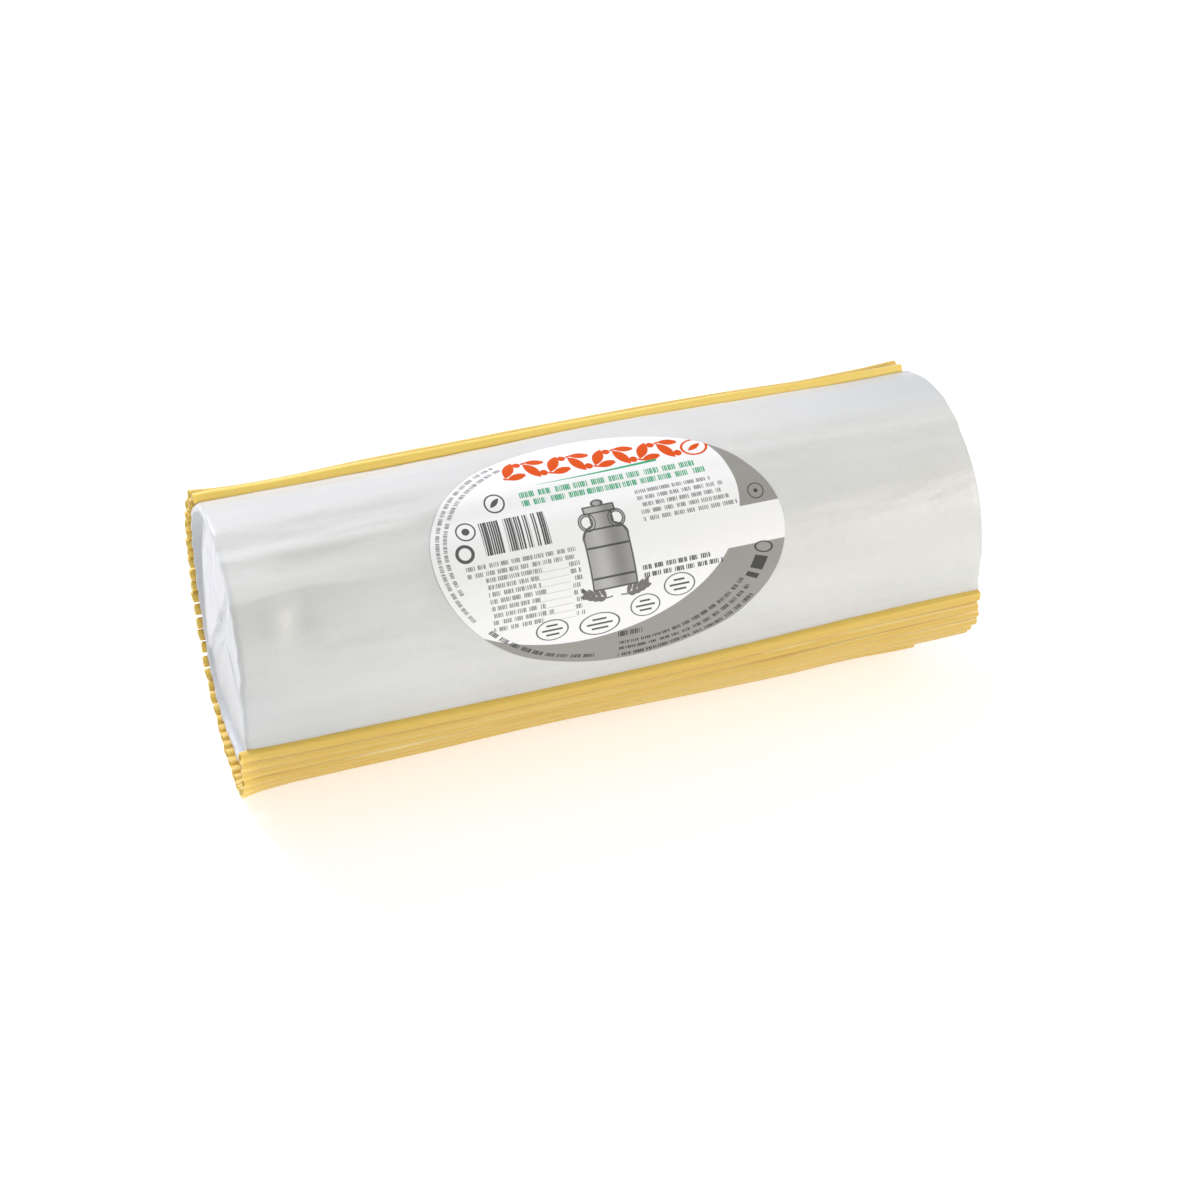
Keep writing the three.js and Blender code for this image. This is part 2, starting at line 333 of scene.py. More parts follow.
def cut_lengthwise(piece, cuts):
    """Cuts every edge that runs along the log, so that new rings appear."""
    def runs_along(edge):
        first, second = (piece.data.vertices[index].co for index in edge.vertices)
        return abs(first.x - second.x) > 10 * (first - second).yz.length + 1e-7

    select_in_mesh(piece, "EDGE", runs_along)
    bpy.ops.mesh.subdivide(number_cuts=cuts)
    enter_mode("OBJECT")


def read_points(piece):
    points = np.empty(len(piece.data.vertices) * 3, dtype=np.float64)
    piece.data.vertices.foreach_get("co", points)
    return points.reshape(-1, 3)


def write_points(piece, points):
    piece.data.vertices.foreach_set("co", np.ascontiguousarray(points, dtype=np.float32).ravel())
    piece.data.update()


def finish_piece(piece, name, node, material):
    piece.name = name
    piece.data.name = name
    piece.data.materials.clear()
    piece.data.materials.append(material)
    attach(piece, "root")
    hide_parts(node)


# Shader helpers

def operation(name):
    def method(self, *others):
        return self.math(name, *others)
    return method


class Value:
    """A number that varies over a surface. Arithmetic on it adds Math nodes."""

    def __init__(self, finish, socket):
        self.finish = finish
        self.socket = socket

    def math(self, name, *others, clamp=False):
        inputs = dict(enumerate((self, *others)))
        node = self.finish.node("ShaderNodeMath", {"operation": name, "use_clamp": clamp}, inputs)
        return Value(self.finish, node.outputs[0])

    __add__ = __radd__ = operation("ADD")
    __sub__ = operation("SUBTRACT")
    __mul__ = __rmul__ = operation("MULTIPLY")
    __truediv__ = operation("DIVIDE")
    __pow__ = operation("POWER")
    __abs__ = operation("ABSOLUTE")
    least = operation("MINIMUM")
    most = operation("MAXIMUM")
    floor = operation("FLOOR")
    fraction = operation("FRACT")
    root = operation("SQRT")
    sine = operation("SINE")
    above = operation("GREATER_THAN")

    def __rsub__(self, other):
        node = self.finish.node("ShaderNodeMath", {"operation": "SUBTRACT"}, {0: other, 1: self})
        return Value(self.finish, node.outputs[0])

    def __neg__(self):
        return self * -1

    def clamped(self):
        return self.math("ADD", 0, clamp=True)

    def ramp(self, low, high):
        node = self.finish.node("ShaderNodeMapRange", {"interpolation_type": "SMOOTHSTEP"},
                                {"Value": self, "From Min": low, "From Max": high})
        return Value(self.finish, node.outputs["Result"])


class Finish:
    """A node material. Every node comes from node(): type, settings, then inputs."""

    def __init__(self, name):
        self.material = bpy.data.materials.new(name)
        self.material.use_nodes = True
        self.tree = self.material.node_tree
        self.shader = self.tree.nodes["Principled BSDF"]

    def node(self, kind, settings=None, inputs=None):
        made = self.tree.nodes.new(kind)
        for key, setting in (settings or {}).items():
            setattr(made, key, setting)
        for key, given in (inputs or {}).items():
            self.feed(made.inputs[key], given)
        return made

    def feed(self, socket, given):
        source = given.socket if isinstance(given, Value) else given
        if isinstance(source, bpy.types.NodeSocket):
            self.tree.links.new(source, socket)
        elif socket.type == "RGBA" and len(source) == 3:
            socket.default_value = (*source, 1)
        else:
            socket.default_value = source

    def value(self, node, output):
        return Value(self, node.outputs[output])

    def attribute(self, name):
        """A tone that add_tone has kept on the piece's points."""
        return self.value(self.node("ShaderNodeAttribute", {"attribute_name": name}), "Fac")

    def object_mm(self):
        """Object coordinates in millimetres."""
        coordinates = self.node("ShaderNodeTexCoord")
        scaled = self.node("ShaderNodeVectorMath", {"operation": "SCALE"},
                           {0: coordinates.outputs["Object"], "Scale": 1 / MM})
        return scaled.outputs["Vector"]

    def noise(self, vector, scale, along=1, detail=3, roughness=0.5, distortion=0):
        """Noise that is drawn out along the log where along is under 1."""
        drawn = self.node("ShaderNodeVectorMath", {"operation": "MULTIPLY"}, {0: vector, 1: (along, 1, 1)})
        node = self.node("ShaderNodeTexNoise", {}, {
            "Vector": drawn.outputs["Vector"], "Scale": scale, "Detail": detail, "Roughness": roughness,
            "Distortion": distortion})
        return self.value(node, "Fac")

    def mix(self, factor, first, second):
        node = self.node("ShaderNodeMix", {"data_type": "RGBA"}, {0: factor, 6: first, 7: second})
        return node.outputs[2]

    def bumped(self, height, strength, distance, normal=None):
        inputs = {"Height": height, "Strength": strength, "Distance": distance}
        if normal is not None:
            inputs["Normal"] = normal
        return self.node("ShaderNodeBump", {}, inputs).outputs["Normal"]

    def surface(self, colour, roughness, normal=None, **constants):
        self.feed(self.shader.inputs["Base Color"], colour)
        self.feed(self.shader.inputs["Roughness"], roughness)
        if normal is not None:
            self.feed(self.shader.inputs["Normal"], normal)
        for name, constant in constants.items():
            self.shader.inputs[name.replace("_", " ")].default_value = constant
        return self.material


# Waxed paper

def paper_finish():
    settings = bpy.context.scene.cheese_paper
    finish = Finish("waxed_paper")
    place = finish.object_mm()
    cloud = finish.noise(place, 0.06, 0.6, detail=4, roughness=0.55)
    blotch = finish.noise(place, 0.55, detail=3, roughness=0.6)
    fibre = finish.noise(place, 2.4, 0.5, detail=2)
    tone = cloud.ramp(0.3, 0.75) * 0.45 + blotch.ramp(0.45, 0.8) * 0.3 + fibre * 0.12
    colour = finish.mix(tone.clamped(), settings.colour, settings.shade)
    # Painted shade: a greyer, cooler colour over the folded ends
    colour = finish.mix(0.9 * finish.attribute("end_face_shade"), colour, settings.end)
    # Whiter where the paper lies in two layers, with painted highlight and painted light
    colour = finish.mix(finish.attribute("double"), colour, settings.double)
    # Painted shade round each end's rim, on the round side and on the ends
    dark = finish.attribute("fold_shade").most(finish.attribute("shade"))
    colour = finish.mix((0.75 * dark).clamped(), colour, settings.fold_shade)
    roughness = 0.27 + 0.14 * blotch
    crease = finish.noise(place, 0.32, 0.35, detail=4, roughness=0.62, distortion=0.4)
    soft = finish.bumped(crease, 0.35, 0.5 * MM)
    grain = finish.bumped(fibre + 0.5 * blotch, 0.16, 0.12 * MM, normal=soft)
    return finish.surface(colour, roughness, grain, Specular_IOR_Level=0.45)


def add_log_drum(settings):
    """A round drum with rounded rims, rings over its ends and rings along its side."""
    middle = ((log_high.x + log_low.x) / 2, AXIS.y, AXIS.z)
    drum = add_cylinder(LOG_SIDES, settings.radius, log_high.x - log_low.x, middle, "NGON")

    mesh = drum.data
    select_in_mesh(drum, "EDGE", lambda edge: abs(
        mesh.vertices[edge.vertices[0]].co.x - mesh.vertices[edge.vertices[1]].co.x) < MM)
    bpy.ops.mesh.bevel(offset=settings.rim, segments=RIM_SEGMENTS)
    enter_mode("OBJECT")

    face_radius = settings.radius - settings.rim
    select_in_mesh(drum, "FACE", lambda face: len(face.vertices) > 4)
    for _ in range(WALL_RINGS):
        bpy.ops.mesh.inset(thickness=WALL_STEP)
        face_radius -= WALL_STEP
    while face_radius > 1.5 * RING_STEP:
        bpy.ops.mesh.inset(thickness=RING_STEP)
        face_radius -= RING_STEP
    bpy.ops.mesh.poke()
    enter_mode("OBJECT")

    cut_lengthwise(drum, SIDE_CUTS)
    cut_lengthwise(drum, FINE_CUTS)
    return drum


def flap_relief(angle, share, height):
    """Folded flaps side by side, each rising to its edge and dropping to the next."""
    relief = np.zeros_like(angle)
    for edge, following in zip(FLAP_EDGES, FLAP_EDGES[1:] + FLAP_EDGES[:1]):
        width = (following - edge) % 360
        along = (angle - edge) % 360
        rise = np.minimum(np.minimum(along / width, (width - along) / FLAP_DROP), 1)
        relief = np.where(along < width, rise, relief)
    swell = np.sin(np.pi * np.clip(share / RECESS_SHARE, 0, 1)) ** 0.7
    return height * relief * swell


def noise_along(points_mm, size, stretch=1):
    """Fractal noise of a size in millimetres, drawn out along the log."""
    scaled = points_mm / np.array((stretch, 1, 1)) / size
    dimension, lacunarity, octaves = 1, 2, 3
    return np.array([noise.fractal(Vector(point), dimension, lacunarity, octaves) for point in scaled])


def above_flap_edge(points):
    """Distance above the flap's lower edge, in millimetres."""
    along = (FLAP_TIP[0] - FLAP_NOTCH[0], FLAP_TIP[1] - FLAP_NOTCH[1])
    sideways = (points[:, 1] - FLAP_NOTCH[0]) * -along[1] + (points[:, 2] - FLAP_NOTCH[1]) * along[0]
    return sideways / math.hypot(*along)


def pleats(angle, share, count):
    """Small radial pleats that fade towards the middle and the rim."""
    turn = count * angle / 360 + 0.25 * np.sin(np.radians(3 * angle + 40)) + 0.3 * share
    tooth = turn - np.floor(turn)
    slope = np.minimum(tooth / 0.8, (1 - tooth) / 0.2)
    return slope * ease(share, 0.35, 0.75) * ease(RECESS_SHARE - share, 0, 0.06)


def top_flap(points, angle, share):
    """The left end's last flap, a sheet whose lower edge runs from the front rim to the middle."""
    above = above_flap_edge(points)
    sheet = -TOP_FLAP_DEPTH - 0.02 * np.maximum(above, 0) - 0.03 * np.maximum(-above, 0)
    sheet += TOP_FLAP_STEP * ease(above, -0.4, 0.4)
    sheet -= TOP_FLAP_PULL * bump_round(angle, 150, 45) * ease(share, 0.55, 0.93)
    return sheet * ease(LIP_SHARE - share, 0, LIP_SHARE - RECESS_SHARE)


def mat_relief(angle, x, from_end):
    """The paper's soft climb against the edge straws, and its swelling up between the straws."""
    inward = into_mat(angle, x)
    front = turn_between(angle, (STRAW_FIRST + STRAW_LAST) / 2) > 0
    outward = np.where(front, -inward, -inward - EDGE_STRAW_SLIDES[1])
    rear = REAR_CLIMB - REAR_CLIMB_DIP * bump(x - BULGE_X, BULGE_LENGTH)
    climb = np.where(front, FRONT_CLIMB, rear) * bump(np.maximum(outward - CLIMB_START, 0), CLIMB_SPREAD)
    climb = climb * ease(outward, 0.6, 2)
    pitch = (STRAW_LAST - STRAW_FIRST) / (len(STRAW_NODES) - 1)
    swell = GAP_MM + STRAW_SWELL * (1 - np.cos(2 * np.pi * inward / pitch)) * ease(from_end, 1, 7)
    inner = np.where(front, ease(inward, 0, 2), ease(inward, 1.5, 4))
    return climb + swell * inner


def add_tone(piece, name, values):
    """Keeps one number for each point, which the material reads as an attribute."""
    tone = piece.data.attributes.new(name, "FLOAT", "POINT")
    tone.data.foreach_set("value", values.astype(np.float32))


def crease_relief(angle, x):
    """The paper's sharper creases beside the label."""
    relief = np.zeros_like(x)
    for place, length, crease_angle, spread, height in CREASES:
        wander = 0.8 * np.sin(x / 9 + crease_angle)
        across = bump_round(angle, crease_angle + wander, spread)
        relief += height * bump(x - place, length) * across
    return relief


def left_end(angle, share):
    """Where the left end stands, bulged out at two places round its rim."""
    left = np.full_like(angle, LEFT_END_MM)
    for bulge_angle, spread, height in LEFT_BULGES:
        left -= height * bump_round(angle, bulge_angle, spread)
    return LEFT_END_MM + (left - LEFT_END_MM) * share ** 2


def end_relief(points, angle, share, at_left, settings):
    """How far the folded paper stands out over the ends, and how far their rims are ragged."""
    recess = settings.recess / MM * ease(LIP_SHARE - share, 0, LIP_SHARE - RECESS_SHARE)
    folds = flap_relief(angle, share, settings.flaps / MM)
    pucker = noise_along(points, 7) * 0.45 + noise_along(points, 2.2) * 0.12
    pucker *= ease(RECESS_SHARE - share, 0, 0.08)
    right_face = folds - recess + pucker + 0.5 * pleats(angle, share, RIGHT_PLEATS)
    left_face = top_flap(points, angle, share) + 0.35 * folds + 0.7 * pucker
    left_face += 0.3 * pleats(angle, share, LEFT_PLEATS)
    ragged = noise_along(points, 5) * ease(share, 0.9, 0.97)
    ragged *= np.where(at_left, 0.3, 0.12)
    return np.where(at_left, -left_face - ragged, right_face + ragged), np.where(at_left, -ragged, ragged)


def tone_end_faces(points, angle, share, at_left):
    """Tones of the folded ends: painted shade in a greyer, cooler colour, stronger over the top flap and
    lower down, and painted shade along the rear rim and under the top flap.
    """
    above = above_flap_edge(points)
    # Painted shade over the left end, stronger over the top flap and lower down
    left_end_shade = 0.45 + 0.55 * ease(above, -0.5, 0.5)
    left_end_shade += 0.3 * ease(-points[:, 2], 12, 32)
    # Painted shade along the rear rim and under the top flap
    strip = ease(share, 0.9, 0.95) * bump_round(angle, 170, 60)
    under_flap = np.where(at_left, 0.5 * ease(-above, -0.5, 0.5), 0)
    return np.minimum(np.where(at_left, left_end_shade, 0.75), 1), np.maximum(strip, under_flap)


def tone_side(angle, x):
    """Painted shade on the round side: far along the top, at the left foot and above the mat."""
    far_top = 0.65 * ease(x, 45, 105) * ease(angle, 68, 92)
    near_foot = 0.55 * bump(x + 106, 16) * ease(30 - angle, 0, 25)
    near_mat = 0.28 * ease(8 - angle, 0, 12)
    near_mat = near_mat + 0.3 * ease(20 - angle, 0, 16) * ease(-x, 55, 100)
    near_mat = near_mat * ease(angle, -60, -40)
    return far_top + np.maximum(near_foot, near_mat)


def tone_double_and_painted_light(angle, x, off_label):
    """Where the paper looks whiter: a layer where it lies in two layers, a painted highlight on a ridge, a
    painted patch of light and painted light on the back above the mat.
    """
    layer_edge = 47 + 2 * bump(x + 88, 12)
    layer = 0.8 * ease(angle, layer_edge, layer_edge + 2.5) * bump(np.maximum(angle - 55, 0), 4.5)
    layer = layer * ease(-x, 40, 95) + 0.7 * bump(angle - 63, 5) * ease(-x, 88, 102)
    # Painted highlight along a ridge
    painted_ridge_highlight = 0.85 * bump(angle - 69.5, 2.5) * ease(-x, 45, 62)
    # Painted light on a patch
    patch = 0.35 * bump(angle - 37, 9) * bump(x + 67, 18)
    # Painted light behind the mat, where the straws' shadow falls
    behind = 0.9 * bump(into_mat(angle, x) + 4.5, 3) * (angle > 90)
    return np.clip((layer + painted_ridge_highlight + patch) * off_label + behind, 0, 1)


def shape_paper(drum, settings):
    """Moves the drum's points to the log's soft form, with its ridges, dimple, folds and waves."""
    points = (read_points(drum) - np.array(AXIS)) / MM
    radius_mm = settings.radius / MM
    face_mm = radius_mm - settings.rim / MM
    half = (log_high.x - log_low.x) / 2 / MM
    middle = (log_high.x + log_low.x) / 2 / MM - AXIS.x / MM
    along = points[:, 0] - middle
    at_left = along < 0
    across, up = points[:, 1], points[:, 2]
    reach = np.hypot(across, up)
    on_face = reach < face_mm + 1e-4
    angle = np.degrees(np.arctan2(up, -across))
    share = np.clip(reach / face_mm, 0, 1)

    left = left_end(angle, share)
    x = left + (RIGHT_END_MM - left) * (along + half) / (2 * half)
    from_end = np.minimum(x - left, RIGHT_END_MM - x)
    face, ragged = end_relief(points, angle, share, at_left, settings)
    x = x + np.where(on_face, face, ragged * bump(np.maximum(from_end, 0), 2.5))

    base = paper_radius(angle, x)
    wave = noise_along(points, 9, 7) + 0.35 * noise_along(points, 3.2, 3.5)
    off_label = ease(label_share(x, angle), 1, 1.12)
    calm_rim = 0.35 + 0.65 * ease(from_end, 0, 8)
    waves = settings.crinkle / MM * wave * calm_rim * (0.12 + 0.88 * off_label)
    rolled = bump_round(angle, 0, 38)
    roll = -0.4 * rolled * np.clip(1 - from_end / 2, 0, 1) ** 2
    bare = ease(-into_mat(angle, x), 0.7, 3)
    creased = crease_relief(angle, x) * off_label
    grown = base + creased + (waves + roll) * (0.2 + 0.8 * bare) + mat_relief(angle, x, from_end)
    write_points(drum, on_log(x, reach / radius_mm * grown, angle))

    # Painted shade in a narrow band just outside each end's rim
    fold_shade = np.where(on_face, 0, bump(from_end - 1, 0.5)) * (0.35 + 0.65 * rolled)
    end_shade, shaded = tone_end_faces(points, angle, share, at_left)
    add_tone(drum, "fold_shade", fold_shade * np.where(at_left, 1, 0.5))
    add_tone(drum, "end_face_shade", np.where(on_face, end_shade, 0))
    add_tone(drum, "shade", np.where(on_face, shaded, tone_side(angle, x)))
    add_tone(drum, "double", np.where(on_face, 0, tone_double_and_painted_light(angle, x, off_label)))


class CHEESE_OT_wrap_in_paper(bpy.types.Operator):
    """Model the log in its waxed paper, with folded ends"""

    bl_idname = "cheese_log.wrap_in_paper"
    bl_label = "Wrap in paper"

    def execute(self, context):
        settings = context.scene.cheese_paper
        drum = add_log_drum(settings)
        shape_paper(drum, settings)
        make_active(drum)
        bpy.ops.object.shade_smooth_by_angle(angle=SMOOTH_BELOW)
        finish_piece(drum, "waxed_paper_log", LOG_NODE, paper_finish())
        return {"FINISHED"}


# Straws

def straw_finish():
    settings = bpy.context.scene.cheese_straws
    finish = Finish("straw_plastic")
    place = finish.object_mm()
    streaks = finish.noise(place, 1.6, 0.012, detail=3, roughness=0.6)
    each = finish.noise(place, 0.21, 0.002, detail=1)
    scuffs = finish.noise(place, 1.1, 0.08, detail=4, roughness=0.65)
    patches = finish.noise(place, 0.54, 0.05, detail=2)
    dark = streaks.ramp(0.52, 0.72) * 0.4 + each.ramp(0.5, 0.7) * 0.3
    light = scuffs.ramp(0.5, 0.78) * 0.4
    # Painted light where two straws meet, where shade falls between them
    beside = finish.attribute("side") * (0.5 + 0.5 * patches.ramp(0.42, 0.6))
    colour = finish.mix(dark.clamped(), settings.colour, settings.deep)
    colour = finish.mix((light + finish.attribute("pale")).clamped(), colour, settings.pale)
    # Painted light on the top straws, the edge straws and the cut ends
    colour = finish.mix(finish.attribute("lit"), colour, settings.lit)
    colour = finish.mix(beside, colour, settings.side)
    lines = finish.bumped(streaks, 0.4, 0.12 * MM)
    skin = finish.bumped(scuffs, 0.15, 0.08 * MM, normal=lines)
    return finish.surface(
        colour, 0.3 + 0.2 * scuffs, skin, Specular_IOR_Level=0.5, Subsurface_Weight=0.25,
        Subsurface_Radius=(1, 0.75, 0.35), Subsurface_Scale=2 * MM)


def add_wall(piece, thickness, offset):
    wall = piece.modifiers.new("wall", "SOLIDIFY")
    wall.thickness = thickness
    wall.offset = offset
    bpy.ops.object.modifier_apply(modifier=wall.name)


def add_straw_template(settings):
    """An open tube of unit length along X, with a wall."""
    tube = add_cylinder(STRAW_SIDES, STRAW_WIDTH / 2, 1, (0.5, 0, 0), "NOTHING")
    cut_lengthwise(tube, STRAW_CUTS)
    make_active(tube)
    add_wall(tube, settings.wall, -1)
    bpy.ops.object.shade_smooth_by_angle(angle=SMOOTH_BELOW)
    return tube


def told_of(index, table, x):
    """What the rows of a table that name a straw say, along its length."""
    return [amount * bump(x - place, length)
            for first, last, place, length, amount in table if first <= index <= last]


def straw_path(index, angle, share, phase, x):
    """Radius in millimetres and angle in degrees of a straw's middle line."""
    left, right = np.min(x), np.max(x)
    slide = 0.25 * np.sin(x / 45 + phase) + front_drift(share, x)
    lift = 0.12 * np.sin(x / 31 + 2 * phase)
    looseness = bump_round(angle, LOOSE_ANGLE, LOOSE_SPREAD)
    flare = FLARE_MM * np.maximum(0, 1 - (x - left) / FLARE_LENGTH) ** 2
    lift = sum(told_of(index, STRAW_BENDS, x), lift)
    if index in SHORT_STRAWS:
        lift = lift + SHORT_DROOP_MM * bump(right - x, SHORT_DROOP_LENGTH)
    if index == 1:
        lift = np.minimum(lift, 0.1) - EDGE_STRAW_DROP
    slide = slide - EDGE_STRAW_SLIDES.get(index, 0)
    touched = [paper_radius(np.full_like(x, angle + turn), x) for turn in (-STRAW_FOOT, 0, STRAW_FOOT)]
    paper = np.maximum(np.max(touched, axis=0), LOG_RADIUS_MM - MAT_PRESS_MM - 0.3)
    radius = paper + GAP_MM + STRAW_WIDTH / MM / 2 + lift + (LOOSE_MM + flare) * looseness
    return radius, angle + slide


def tone_straw(straw, index, x, left, around):
    """Painted light where a straw meets the next, where shade falls between them, paler stretches, and
    painted light on the top straws, the edge straws and the cut ends.
    """
    beside = np.sin(around)
    bare_side = {1: beside > 0, len(STRAW_NODES): beside < 0}.get(index, beside > 1)
    line = np.maximum.reduce([np.full_like(x, FAINT_SIDE_LIGHT), *told_of(index, PAINTED_SIDE_LIGHT, x)])
    pale = np.maximum.reduce([np.zeros_like(x), *told_of(index, STRAW_TINTS, x)])
    lit = LIT_STRAWS.get(index, 0) * (0.9 - 0.6 * ease(x, 10, 95))
    edge_glow = REAR_EDGE_GLOW if index == 1 else FRONT_EDGE_GLOW
    edge_glow = np.where(bare_side, edge_glow * ease(np.abs(beside), 0.2, 0.9), 0)
    add_tone(straw, "side", np.where(bare_side, 0, line * ease(np.abs(beside), 0.78, 0.96)))
    add_tone(straw, "pale", pale)
    add_tone(straw, "lit", np.maximum.reduce((lit, edge_glow, CUT_END_GLOW * bump(x - left, 4))))


def rounded_square(wave, power):
    """A sine or cosine raised to a power that squares the tube's section a little."""
    return np.sign(wave) * np.abs(wave) ** power


def lay_straw(template, index, settings):
    """One copy of the template, moved point by point along its own line."""
    node = STRAW_NODES[index - 1]
    low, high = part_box(node)
    share = (index - 1) / (len(STRAW_NODES) - 1)
    angle = STRAW_FIRST + (STRAW_LAST - STRAW_FIRST) * share
    phase = 1.7 * index
    straw = template.copy()
    straw.data = template.data.copy()
    bpy.context.scene.collection.objects.link(straw)

    points = read_points(straw)
    left = (low.x - AXIS.x) / MM
    right = (high.x - AXIS.x) / MM + STRAW_OVERHANG.get(index, 0)
    x = left + points[:, 0] * (right - left)
    around = np.arctan2(points[:, 1], points[:, 2])
    reach = np.hypot(points[:, 1], points[:, 2]) / MM

    near_end = np.maximum(bump(x - left, 5), bump(right - x, 5))
    squash = settings.squash * (0.6 + 0.4 * np.sin(x / 23 + phase)) + 0.07 * near_end
    dents = 0.03 * np.sin(3 * around + x / 17 + phase) * (1 + near_end)
    pressed = bump_round(angle, 272, 34)
    widened = 1 + (settings.spread + 0.05 * share ** 6) * (1 - near_end * (1 - pressed))
    power = 0.8 - 0.14 * (1 - near_end)
    outward = reach * rounded_square(np.cos(around), power) * (1 - squash) * (1 + dents)
    sideways = reach * rounded_square(np.sin(around), power) * (1 - dents) * widened

    radius, centre_angle = straw_path(index, angle, share, phase, x)
    middle = on_log(x, radius, centre_angle)
    middle[:, 2] = np.maximum(middle[:, 2], STRAW_WIDTH / 2)
    near_floor = abs(turn_between(angle, 270)) < 20
    turn = np.radians(270 if near_floor else centre_angle)
    slant = 0.25 * math.sin(4.1 * index) * np.sin(around) * near_end
    points[:, 0] = middle[:, 0] + slant * MM
    points[:, 1] = middle[:, 1] + (-outward * np.cos(turn) - sideways * np.sin(turn)) * MM
    points[:, 2] = middle[:, 2] + (outward * np.sin(turn) - sideways * np.cos(turn)) * MM
    write_points(straw, points)
    tone_straw(straw, index, x, left, around)
    return straw, node


class CHEESE_OT_lay_straws(bpy.types.Operator):
    """Lay the mat of open straws under and behind the log"""

    bl_idname = "cheese_log.lay_straws"
    bl_label = "Lay straws"

    def execute(self, context):
        settings = context.scene.cheese_straws
        template = add_straw_template(settings)
        material = straw_finish()
        for index in range(1, len(STRAW_NODES) + 1):
            straw, node = lay_straw(template, index, settings)
            finish_piece(straw, f"yellow_{node}", node, material)
        bpy.data.objects.remove(template)
        return {"FINISHED"}


# Label print: plain fields, rings, rules and dashes, in millimetres from the label's middle

PRINT_SHIFT = (-0.65, 1)
TOP_FULLNESS = 1.9
SOFT_EDGE_MM, STROKE_MM, ROUND_MM = 0.09, 0.55, 40
CRESCENT_CENTRE, CRESCENT_RADII, WHITE_BAR = (-11.6, 10.1), (50.3, 36), (20, 60, -8.2, 2.6)
GARLAND_LEFT, GARLAND_CELL, GARLAND_HEIGHT, GARLAND_SLOPE = -24.6, 6.45, 28.1, 0.055
GARLAND_LEAVES = (((-2.6, -2.6), 62, 7.4, 3.1), ((-2.2, -3.2), 12, 6, 2.5))  # base, angle, length, width
SWASH_LEFT, SWASH_LENGTH, SWASH_HEIGHT = -16.5, 35.5, 21
CHURN_X = -2
CHURN_BLOCKS = (  # half width, bottom, top, rounding
    (5.4, -11.5, 1.5, 0.9), (2.9, 4, 8.6, 0.25), (4, 9.2, 10.4, 0.4),
)
CHURN_OVALS = (((0, 1.8), (6.3, 4)), ((0, 11.6), (1.5, 1)))  # centre, radii
CHURN_HOOPS = ((-9.3, 0.3), (-0.9, 0.3), (4.1, 0.25))  # height, half width
CHURN_DARK, CHURN_PALE, SPRIG_GREY = (0.22, 0.215, 0.205), (0.50, 0.495, 0.48), (0.19, 0.185, 0.175)
BAR_PITCH, BAR_BLOCK = 0.62, (-35.8, -17.2, 2.6, 12.4)
ROUND_MARKS = (  # centre, radius, line, or no line for a dot
    ((-29.6, 17.5), 2.7, 0.5), ((-39.7, 10.6), 2.6, 0.45), ((-39.7, 10.6), 1.1, None),
    ((-41.5, 4.3), 2.2, 0.95), ((43.4, 6.2), 2.2, 0.3), ((43.4, 6.2), 0.6, None),
)
OVAL_MARKS = (  # centre, radii
    ((-21.3, -20.9), (4.5, 2.9)), ((-7.7, -21.9), (5.7, 3.1)), ((5.8, -19.2), (4.2, 3.1)),
    ((16.2, -15.2), (4.4, 3.1)),
)
OVAL_BARS = ((1.35, 0.36), (0, 0.66), (-1.35, 0.42))  # height in the oval, share of its half length
RULE_TOP, RULE_PITCH, RULE_BLOCK = -2.9, 1.95, (-24, -14.4, -18.4, -3)

# Rows of dashes: measured how, left, right, top, pitch, rows, height, word length, seed
GREEN_ROWS = (("flat", -22.2, 31.5, 19.7, 2.55, 2, 1.75, 5.2, 3),)
DARK_ROWS = (
    ("flat", 6.4, 31.5, -7.7, 2.1, 2, 1.3, 3.4, 11),
    ("round", -62, -20.5, 6.9, 2.3, 3, 1.05, 3, 13),
    ("round back", 68, 104, 3, 1.9, 1, 1.15, 3.4, 17),
    ("flat", -2.6, 4.6, -25.4, 2, 1, 1.5, 3.4, 41),
)
SMALL_ROWS = (
    ("flat", 9.6, 37.5, 13.7, 2.1, 5, 1.2, 3.6, 19),
    ("rim", 87.5, 140, 5.2, 2.1, 2, 1.1, 2.9, 23),
    ("rim back", 103, 135, 3.1, 2.1, 1, 1.1, 2.9, 43),
    ("rim back", 112, 134, 5.2, 2.1, 1, 1.1, 2.9, 47),
    ("flat", -37.5, -20, -2.9, 1.95, 8, 1.2, 3.3, 29),
    ("flat", -42.3, -8.6, 1, 2, 2, 1.2, 3.2, 31),
    ("flat", -14, -10.8, -2.9, 1.95, 8, 1.25, 3.6, 37),
)


def inside(distance):
    """A mask from a distance that is negative inside a shape."""
    return (0.5 - distance / SOFT_EDGE_MM).clamped()


def union(shapes):
    """The distance to the nearest of several shapes."""
    return functools.reduce(Value.least, shapes)


def oval(x, y, centre, radii):
    share = (((x - centre[0]) / radii[0]) ** 2 + ((y - centre[1]) / radii[1]) ** 2).root()
    return (share - 1) * min(radii)


def block(x, y, left, right, bottom, top):
    across = abs(x - (left + right) / 2) - (right - left) / 2
    up = abs(y - (bottom + top) / 2) - (top - bottom) / 2
    return across.most(up)


def ring(x, y, centre, radii, line):
    return abs(oval(x, y, centre, radii)) - line / 2


def leaf(x, y, base, angle, length, width):
    """A pointed leaf from its base, at an angle in degrees."""
    cosine = math.cos(math.radians(angle))
    sine = math.sin(math.radians(angle))
    along = (x - base[0]) * cosine + (y - base[1]) * sine - length / 2
    across = (y - base[1]) * cosine - (x - base[0]) * sine
    return abs(across) + (along / (length / 2)) ** 2 * (width / 2) - width / 2


def chance(finish, column, row, seed):
    """A random number for each cell of a grid."""
    cell = finish.node("ShaderNodeCombineXYZ", {}, {0: column, 1: row, 2: seed})
    return finish.value(finish.node("ShaderNodeTexWhiteNoise", {"noise_dimensions": "3D"},
                                    {"Vector": cell.outputs[0]}), "Value")


